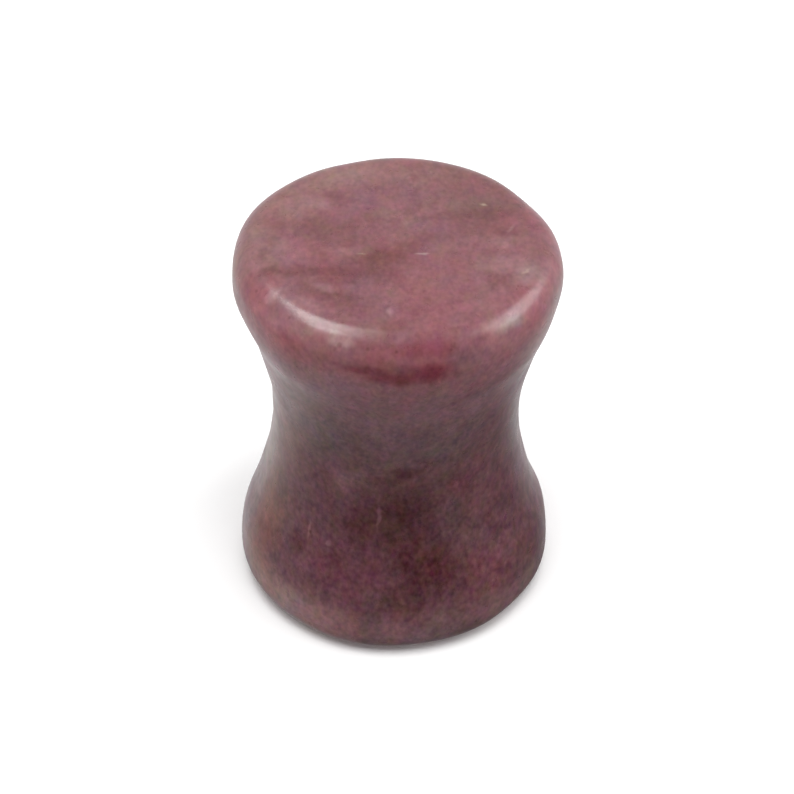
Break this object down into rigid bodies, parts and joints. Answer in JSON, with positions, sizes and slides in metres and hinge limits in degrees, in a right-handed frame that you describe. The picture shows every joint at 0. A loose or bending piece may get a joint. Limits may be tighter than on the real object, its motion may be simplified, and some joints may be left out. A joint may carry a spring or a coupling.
{
  "type": "double flared ear plug",
  "caption": "Solid polished stone ear plug with a saddle-shaped waist and a flare at each end, standing on one flat end face.",
  "frame": {"origin": "middle of the lower end face, on the surface the plug stands on", "axes": "+Z along the plug's own axis, up from the lower flare to the upper one; +Y away from the picture's viewer, +X to their right"},
  "size_m": [0.0102, 0.0102, 0.013],
  "materials": {
    "stone": "gloss"
  },
  "bodies": {
    "root": {"stone_plug": "stone"}
  },
  "joints": []
}
